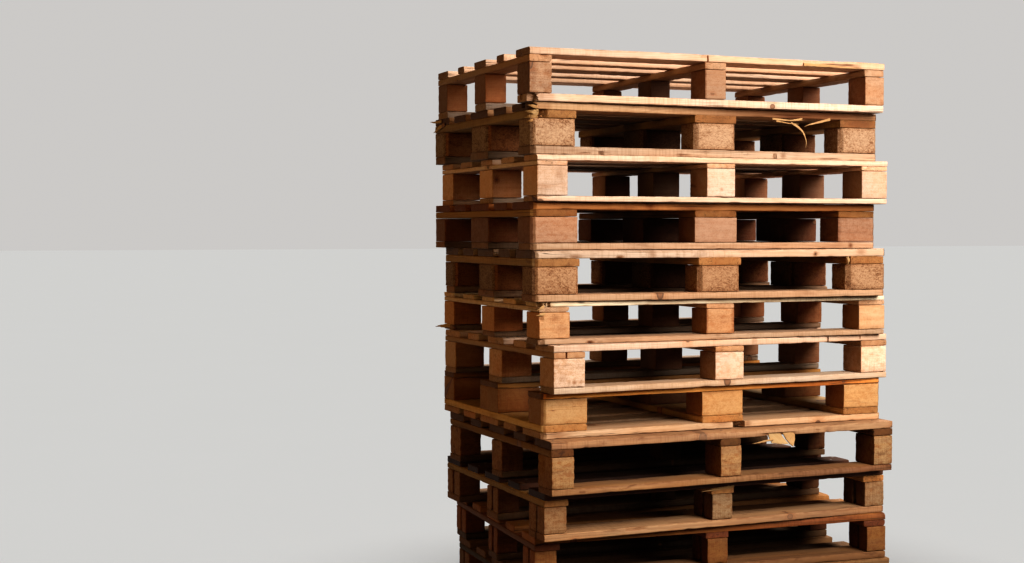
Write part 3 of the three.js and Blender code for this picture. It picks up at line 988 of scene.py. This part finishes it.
    # drying cracks
    seam = (s.noise(log, (0.9, 85.0, 85.0), 1.0, 0.4) - 0.5).sum("ABSOLUTE")
    where = (s.noise(log, (2.4, 14.0, 14.0), 1.0) + end * 0.16 + age * 0.05).ramp(0.60, 0.68)
    crack = seam.ramp(0.014, 0.002) * where * (1 - 0.75 * mottle)
    colour = s.mix(crack * 0.8, colour, (0.035, 0.018, 0.009))

    # the saw's teeth leave marks across the grain
    teeth = s.noise(log, (230.0, 12.0, 12.0), 1.0, 0.4)
    rough_cut = s.noise(log, (1.1, 3.0, 3.0), 1.0).ramp(0.42, 0.62) * (0.25 + 0.6 * age)
    colour = s.shade(colour, (teeth.ramp(0.46, 0.66) * rough_cut, (0.68, 0.58, 0.48)))
    height = 0.45 * fibre + 0.34 * teeth + 0.18 * blotch - 0.20 * late - 1.6 * crack + 0.25 * knot
    rough = (0.66 + 0.22 * streak - 0.10 * knot + 0.08 * age).most(0.95)
    return s.finish(colour, rough, height, depth=0.0009, strength=0.75)


def pressed_chip():
    """Blocks pressed from wood chips: flakes of many tones in darker glue, crumbly where they are worn."""
    s = Shader("pressed_chip")
    log = s.attribute("log", "Vector")
    tone, age = s.attribute("tone", "Color"), s.attribute("tone", "Alpha")
    arris, _, cut = s.split(s.attribute("wear", "Vector"))
    stray = s.noise(log, (30.0, 30.0, 30.0), out="Color")
    bent = s.vector("ADD", log, s.vector("MULTIPLY", stray, (0.006, 0.006, 0.006)))
    near, tint = s.cells(s.vector("MULTIPLY", bent, (115.0, 150.0, 230.0)))
    _, grit = s.cells(s.vector("MULTIPLY", bent, (330.0, 330.0, 450.0)))
    blotch = s.noise(log, (14.0, 14.0, 20.0), 3.0, 0.6)
    open_face = (0.35 + 0.30 * cut + 0.45 * blotch.ramp(0.50, 0.66)).most(1.0)
    crumbly = (0.48 + 0.60 * arris + 0.30 * blotch.ramp(0.52, 0.70)).most(1.0)
    glue = near.ramp(0.46, 0.78)
    colour = s.shade(tone, (tint.ramp(0.50, 0.95) * 0.80 * open_face, (0.56, 0.40, 0.27)))
    pale = s.mix(1.0, tone, (1.30, 1.34, 1.36), "MULTIPLY")
    colour = s.mix(tint.ramp(0.34, 0.12) * open_face * 0.35, colour, pale)
    colour = s.shade(
        colour,
        (grit.ramp(0.70, 0.90) * crumbly * 0.85, (0.40, 0.26, 0.15)),
        (grit.ramp(0.24, 0.08) * crumbly * 0.80, (1.25, 1.30, 1.34)),
        # darker along the arrises: crumbly wear, and painted shade on the cut upright corners
        (arris * 0.55, (0.66, 0.48, 0.30)),
        (glue * open_face * 0.45, (0.50, 0.36, 0.24)),
        (blotch.ramp(0.48, 0.66) * (0.16 + 0.4 * age), (0.62, 0.48, 0.36)),
    )
    height = (0.7 * tint - 0.9 * glue) * open_face - 0.8 * grit.ramp(0.6, 0.9) * crumbly
    return s.finish(colour, 0.78 + 0.14 * blotch, height, depth=0.0008, strength=0.7)


def nail_steel(looks):
    """Flat nail heads, dull steel with rust."""
    s = Shader("nail_steel")
    place = s.node("TexCoord", {}, out="Object")
    rust = s.noise(place, (260.0, 260.0, 260.0), 3.0, 0.6).ramp(0.42, 0.62)
    colour = s.mix(rust, tuple(looks.steel), (0.17, 0.066, 0.028))
    feed(s.tree, s.skin.inputs["Metallic"], 0.85 - 0.75 * rust)
    pits = s.noise(place, (900.0, 900.0, 900.0))
    return s.finish(colour, 0.42 + 0.4 * rust, pits, depth=0.0002, strength=0.5)


MAKERS = {
    "wood": lambda looks: sawn_wood(looks, "sawn_softwood", 0.0),
    "block": lambda looks: sawn_wood(looks, "block_softwood", 1.0),
    "chip": lambda looks: pressed_chip(),
    "nail": nail_steel,
}
MATERIALS = {}


def material(kind):
    """The material of that kind, made when it is first asked for."""
    if kind not in MATERIALS:
        MATERIALS[kind] = MAKERS[kind](bpy.context.scene.pallet_looks)
    return MATERIALS[kind]


def nail_places(pallet):
    """Points and outward directions of every nail head of a pallet, in its own corner."""
    points, ways = [], []
    rng = seeded(pallet, "nails")
    for a, b in pallet.deck_rows:
        for c, d in pallet.stringer_columns:
            count = 3 if b - a >= BROAD_BOARD and pallet.stringer >= BROAD_STRINGER else 2
            for k in range(count):
                across = a + (b - a) * ((k + 0.5) / count) + rng.normal(0, 3)
                along = (c + d) / 2 + (d - c) * OFF_STRINGER * (1 if k % 2 else -1) + rng.normal(0, 4)
                points.append((along, across, pallet.top - HEAD_DEPTH))
                ways.append((0, 0, 1))
    for a, b in pallet.block_rows:
        for c, d in pallet.block_columns:
            for way in (-1, 1):
                along = (c + d) / 2 + (d - c) * OFF_BLOCK * way + rng.normal(0, 3)
                across = (a + b) / 2 + (b - a) * OFF_BLOCK * way + rng.normal(0, 3)
                points.append((along, across, HEAD_DEPTH))
                ways.append((0, 0, -1))
    return np.array(points), np.array(ways)


def nail_tree():
    """Geometry nodes that set one nail head on each point, along that point's direction."""
    tree = bpy.data.node_groups.new("nail_heads", "GeometryNodeTree")
    for label, kind, default in (
        ("Points", "Geometry", None),
        ("Head radius", "Float", 0.004),
        ("Head height", "Float", HEAD_HEIGHT),
        ("Tilt", "Float", HEAD_TILT),
        ("Seed", "Int", 1),
        ("Steel", "Material", None),
    ):
        made = tree.interface.new_socket(label, in_out="INPUT", socket_type="NodeSocket" + kind)
        if default is not None:
            made.default_value = default
    tree.interface.new_socket("Heads", in_out="OUTPUT", socket_type="NodeSocketGeometry")

    def add(kind, settings, *values, **named):
        return new_node(tree, kind, settings, *values, **named)

    given = add("NodeGroupInput", {})
    head = add("GeometryNodeMeshCylinder", {"fill_type": "NGON"}, Vertices=HEAD_CORNERS, Side_Segments=1,
               Radius=given["Head radius"], Depth=given["Head height"])
    rim = add("GeometryNodeExtrudeMesh", {"mode": "FACES"}, Mesh=head["Mesh"], Selection=head["Top"],
              Offset_Scale=0.0)
    small = add("GeometryNodeScaleElements", {}, Geometry=rim["Mesh"], Selection=rim["Top"],
                Scale=HEAD_RISEN)
    up = add("ShaderNodeCombineXYZ", {}, Z=HEAD_DOME)[0]
    domed = add("GeometryNodeSetPosition", {}, Geometry=small["Geometry"], Selection=rim["Top"], Offset=up)
    way = add("GeometryNodeInputNamedAttribute", {"data_type": "FLOAT_VECTOR"}, Name="way")["Attribute"]
    aim = add("FunctionNodeAlignRotationToVector", {"axis": "Z"}, Vector=way)[0]
    least = add("ShaderNodeMath", {"operation": "MULTIPLY"}, given["Tilt"], -1.0)[0]
    low = add("ShaderNodeCombineXYZ", {}, least, least, 0.0)[0]
    high = add("ShaderNodeCombineXYZ", {}, given["Tilt"], given["Tilt"], 6.28)[0]
    chance = add("FunctionNodeRandomValue", {"data_type": "FLOAT_VECTOR"}, low, high, Seed=given["Seed"])[0]
    euler = add("FunctionNodeEulerToRotation", {}, chance)[0]
    turn = add("FunctionNodeRotateRotation", {"rotation_space": "LOCAL"}, Rotation=aim, Rotate_By=euler)[0]
    put = add("GeometryNodeInstanceOnPoints", {}, Points=given["Points"], Instance=domed["Geometry"],
              Rotation=turn)["Instances"]
    real = add("GeometryNodeRealizeInstances", {}, put)[0]
    steel = add("GeometryNodeSetMaterial", {}, Geometry=real, Material=given["Steel"])[0]
    add("NodeGroupOutput", {}, Heads=steel)
    return tree


def set_nails(pallet, tree, looks):
    """One object of all the nail heads of a pallet."""
    points, ways = nail_places(pallet)
    cloud = bpy.data.meshes.new("nail_points")
    cloud.from_pydata([tuple(p) for p in pallet.place(points)], [], [])
    way = cloud.attributes.new("way", "FLOAT_VECTOR", "POINT")
    way.data.foreach_set("vector", pallet.aim(ways).astype(np.float32).ravel())
    carrier = add_object("nail_points", cloud)
    nodes = carrier.modifiers.new("nails", "NODES")
    nodes.node_group = tree
    values = {
        "Head radius": looks.nail_radius_mm / MM,
        "Head height": HEAD_HEIGHT,
        "Tilt": HEAD_TILT,
        "Seed": pallet.number,
        "Steel": material("nail"),
    }
    for item in tree.interface.items_tree:
        if item.item_type == "SOCKET" and item.name in values:
            nodes[item.identifier] = values[item.name]
    mesh = bpy.data.meshes.new_from_object(carrier.evaluated_get(bpy.context.evaluated_depsgraph_get()))
    bpy.data.objects.remove(carrier)
    mesh.name = f"nails_{pallet.number:02d}"
    finish_piece(add_object(mesh.name, mesh))


def colour_setting(name, description, default):
    return bpy.props.FloatVectorProperty(name=name, description=description, subtype="COLOR", size=3,
                                         default=default, min=0.0, max=1.0)


class PalletLooks(bpy.types.PropertyGroup):
    """Sizes and colours of the wood and the nails"""

    ring_spacing_mm: bpy.props.FloatProperty(
        name="Ring spacing", description="Width of one growth ring of the log, in mm",
        default=4.2, min=1.0, max=12.0)
    nail_radius_mm: bpy.props.FloatProperty(
        name="Nail head radius", description="Radius of a flat nail head, in mm",
        default=4.0, min=2.0, max=7.0)
    weathered: colour_setting("Weathered wood", "Tint that dulls old wood", (0.86, 0.84, 0.82))
    knot: colour_setting("Knots", "Colour of a knot's heart", (0.22, 0.095, 0.040))
    steel: colour_setting("Nail steel", "Colour of a clean nail head", (0.30, 0.28, 0.26))


class StageLooks(bpy.types.PropertyGroup):
    """Floor, lights and camera"""

    floor: colour_setting("Floor", "Colour of the floor", (0.70, 0.72, 0.73))
    key_watts: bpy.props.FloatProperty(
        name="Key light", description="Power of the light on the front faces, in watts",
        default=250.0, min=0.0, subtype="POWER", unit="POWER")
    sky: bpy.props.FloatProperty(
        name="Surrounding light", description="Strength of the warm light from all round",
        default=0.026, min=0.0, max=2.0)
    backdrop: bpy.props.FloatProperty(
        name="Backdrop", description="Brightness of the plain background",
        default=0.46, min=0.0, max=2.0)
    floor_light: bpy.props.FloatProperty(
        name="Floor light", description="Strength of the light on the floor alone",
        default=2.1, min=0.0, max=10.0)
    focal_mm: bpy.props.FloatProperty(
        name="Focal length", description="Focal length on a 36 mm wide picture",
        default=52.0, min=10.0, max=300.0)


class EachPallet:
    """A step that makes something for one pallet after another."""

    def execute(self, context):
        for pallet in stack_of_pallets():
            self.make(pallet)
        return {"FINISHED"}


class PALLET_OT_deck_boards(EachPallet, bpy.types.Operator):
    """Makes the deck boards of every pallet"""

    bl_idname = "pallet.deck_boards"
    bl_label = "Deck boards"

    def make(self, pallet):
        nodes = pallet.deck_nodes("deck_board", range(1, 6))
        solid_piece("deck_boards", pallet, deck_timbers(pallet), "wood", nodes)


class PALLET_OT_stringers(EachPallet, bpy.types.Operator):
    """Makes the three stringers under each deck"""

    bl_idname = "pallet.stringers"
    bl_label = "Stringers"

    def make(self, pallet):
        nodes = pallet.deck_nodes("stringer", ("left", "middle", "right"))
        solid_piece("stringers", pallet, stringer_timbers(pallet), "wood", nodes)


class PALLET_OT_bottom_boards(EachPallet, bpy.types.Operator):
    """Makes the bottom boards of the runners"""

    bl_idname = "pallet.bottom_boards"
    bl_label = "Bottom boards"

    def make(self, pallet):
        solid_piece("bottom_boards", pallet, bottom_timbers(pallet), "wood", pallet.runner_nodes())


class PALLET_OT_blocks(EachPallet, bpy.types.Operator):
    """Makes the blocks: sawn wood, pairs of sawn wood, or pressed chips"""

    bl_idname = "pallet.blocks"
    bl_label = "Blocks"

    def make(self, pallet):
        finish = "chip" if pallet.blocks == "chip" else "block"
        solid_piece("blocks", pallet, block_timbers(pallet), finish, pallet.runner_nodes())


class PALLET_OT_nails(bpy.types.Operator):
    """Sets the nail heads into the boards"""

    bl_idname = "pallet.nails"
    bl_label = "Nails"

    def execute(self, context):
        tree = nail_tree()
        for pallet in stack_of_pallets():
            set_nails(pallet, tree, context.scene.pallet_looks)
        return {"FINISHED"}


class PALLET_OT_splinters(EachPallet, bpy.types.Operator):
    """Hangs the torn splinters on the damaged boards"""

    bl_idname = "pallet.splinters"
    bl_label = "Splinters"

    def make(self, pallet):
        rng = seeded(pallet, "splinters")
        torn = [maker(rng, *facts) for maker, table in ((strand, STRANDS), (flake, FLAKES))
                for number, *facts in table if number == pallet.number]
        if torn:
            solid_piece("splinters", pallet, torn, "wood")


def lay_floor(colour):
    """A wide plain floor at the stack's foot."""
    mesh = bpy.data.meshes.new("floor")
    corners = [(x * FLOOR_REACH, y * FLOOR_REACH, 0) for x, y in ((-1, -1), (1, -1), (1, 1), (-1, 1))]
    mesh.from_pydata(corners, [], [(0, 1, 2, 3)])
    s = Shader("floor_paint")
    patch = s.noise(s.node("TexCoord", {}, out="Object"), (1.3, 1.3, 1.3), 4.0)
    mesh.materials.append(s.finish(s.mix(patch * 0.10, tuple(colour), (0.62, 0.64, 0.65)), 1.0))
    s.skin.inputs["Specular IOR Level"].default_value = 0.0
    floor = add_object("floor", mesh)
    floor.visible_diffuse = False
    return floor


def add_lamp(name, kind, place, target, power, colour, lit):
    """A lamp that the camera doesn't see, aimed at its target, which lights only the given objects."""
    light = bpy.data.lights.new(name, kind)
    light.energy, light.color = power, colour
    made = add_object(name, light)
    made.location = place
    x, y, z = np.array(target, float) - np.array(place, float)
    made.rotation_euler = (math.atan2(math.hypot(x, y), -z), 0, math.atan2(y, x) - math.pi / 2)
    made.visible_camera = False
    made.light_linking.receiver_collection = lit
    return light


def add_surroundings(looks):
    """Soft warm light from all round, and a plain background for the camera alone."""
    world = bpy.data.worlds.new("surroundings")
    world.use_nodes = True
    nodes, links = world.node_tree.nodes, world.node_tree.links
    kinds = ("Background", "LightPath", "MixShader")
    backdrop, which, both = (nodes.new("ShaderNode" + kind) for kind in kinds)
    links.new(which.outputs["Is Camera Ray"], both.inputs[0])
    for index, node, colour, strength in (
        (1, nodes["Background"], AMBER, looks.sky),
        (2, backdrop, PALE, looks.backdrop),
    ):
        node.inputs["Color"].default_value = (*colour, 1.0)
        node.inputs["Strength"].default_value = strength
        links.new(node.outputs[0], both.inputs[index])
    links.new(both.outputs[0], nodes["World Output"].inputs["Surface"])
    bpy.context.scene.world = world


def add_camera(focal_mm):
    """The photo's camera, and the tones of its picture."""
    lens = bpy.data.cameras.new("camera")
    lens.lens, lens.sensor_width, lens.sensor_fit = focal_mm, 36.0, "HORIZONTAL"
    lens.clip_end = 400
    camera = add_object("camera", lens)
    camera.location = CAMERA_PLACE
    camera.rotation_euler = (math.radians(90 + CAMERA_PITCH), 0, math.radians(-CAMERA_YAW))
    scene = bpy.context.scene
    scene.camera = camera
    scene.view_settings.view_transform = "Standard"
    scene.view_settings.look = "High Contrast"


class PALLET_OT_stage(bpy.types.Operator):
    """Lays the floor and sets the lights and the camera"""

    bl_idname = "pallet.stage"
    bl_label = "Floor, lights and camera"

    def execute(self, context):
        looks = context.scene.stage_looks
        wood_only, floor_only = (bpy.data.collections.new(name) for name in ("wood_only", "floor_only"))
        for piece in context.scene.collection.objects:
            wood_only.objects.link(piece)
        floor_only.objects.link(lay_floor(looks.floor))
        for name, place, target, size, share, colour in LAMPS:
            light = add_lamp(name, "AREA", place, target, looks.key_watts * share, colour, wood_only)
            light.shape, light.size = "DISK", size

        # the floor has a wide lamp of its own, so that it is evenly pale and lights nothing from below
        sun = add_lamp("floor_light", "SUN", (0, 0, 6), (0.2, 0.3, 0), looks.floor_light, PALE, floor_only)
        sun.angle = math.radians(50)
        add_surroundings(looks)
        add_camera(looks.focal_mm)
        return {"FINISHED"}


class PALLET_PT_stack(bpy.types.Panel):
    """Lists the steps that build the stack"""

    bl_idname = "PALLET_PT_stack"
    bl_label = "Stack of pallets"
    bl_space_type = "VIEW_3D"
    bl_region_type = "UI"
    bl_category = "Pallets"

    def draw(self, context):
        for step in STEPS:
            self.layout.operator(step.bl_idname)
        for group in (context.scene.pallet_looks, context.scene.stage_looks):
            for key in group.__annotations__:
                self.layout.prop(group, key)


STEPS = (
    PALLET_OT_deck_boards,
    PALLET_OT_stringers,
    PALLET_OT_bottom_boards,
    PALLET_OT_blocks,
    PALLET_OT_nails,
    PALLET_OT_splinters,
    PALLET_OT_stage,
)
CLASSES = (PalletLooks, StageLooks, *STEPS, PALLET_PT_stack)


def register():
    for each in CLASSES:
        bpy.utils.register_class(each)
    bpy.types.Scene.pallet_looks = bpy.props.PointerProperty(type=PalletLooks)
    bpy.types.Scene.stage_looks = bpy.props.PointerProperty(type=StageLooks)


def unregister():
    del bpy.types.Scene.stage_looks
    del bpy.types.Scene.pallet_looks
    for each in reversed(CLASSES):
        bpy.utils.unregister_class(each)


def main():
    register()
    for step in STEPS:
        group, name = step.bl_idname.split(".")
        getattr(getattr(bpy.ops, group), name)()


if __name__ == "__main__":
    main()
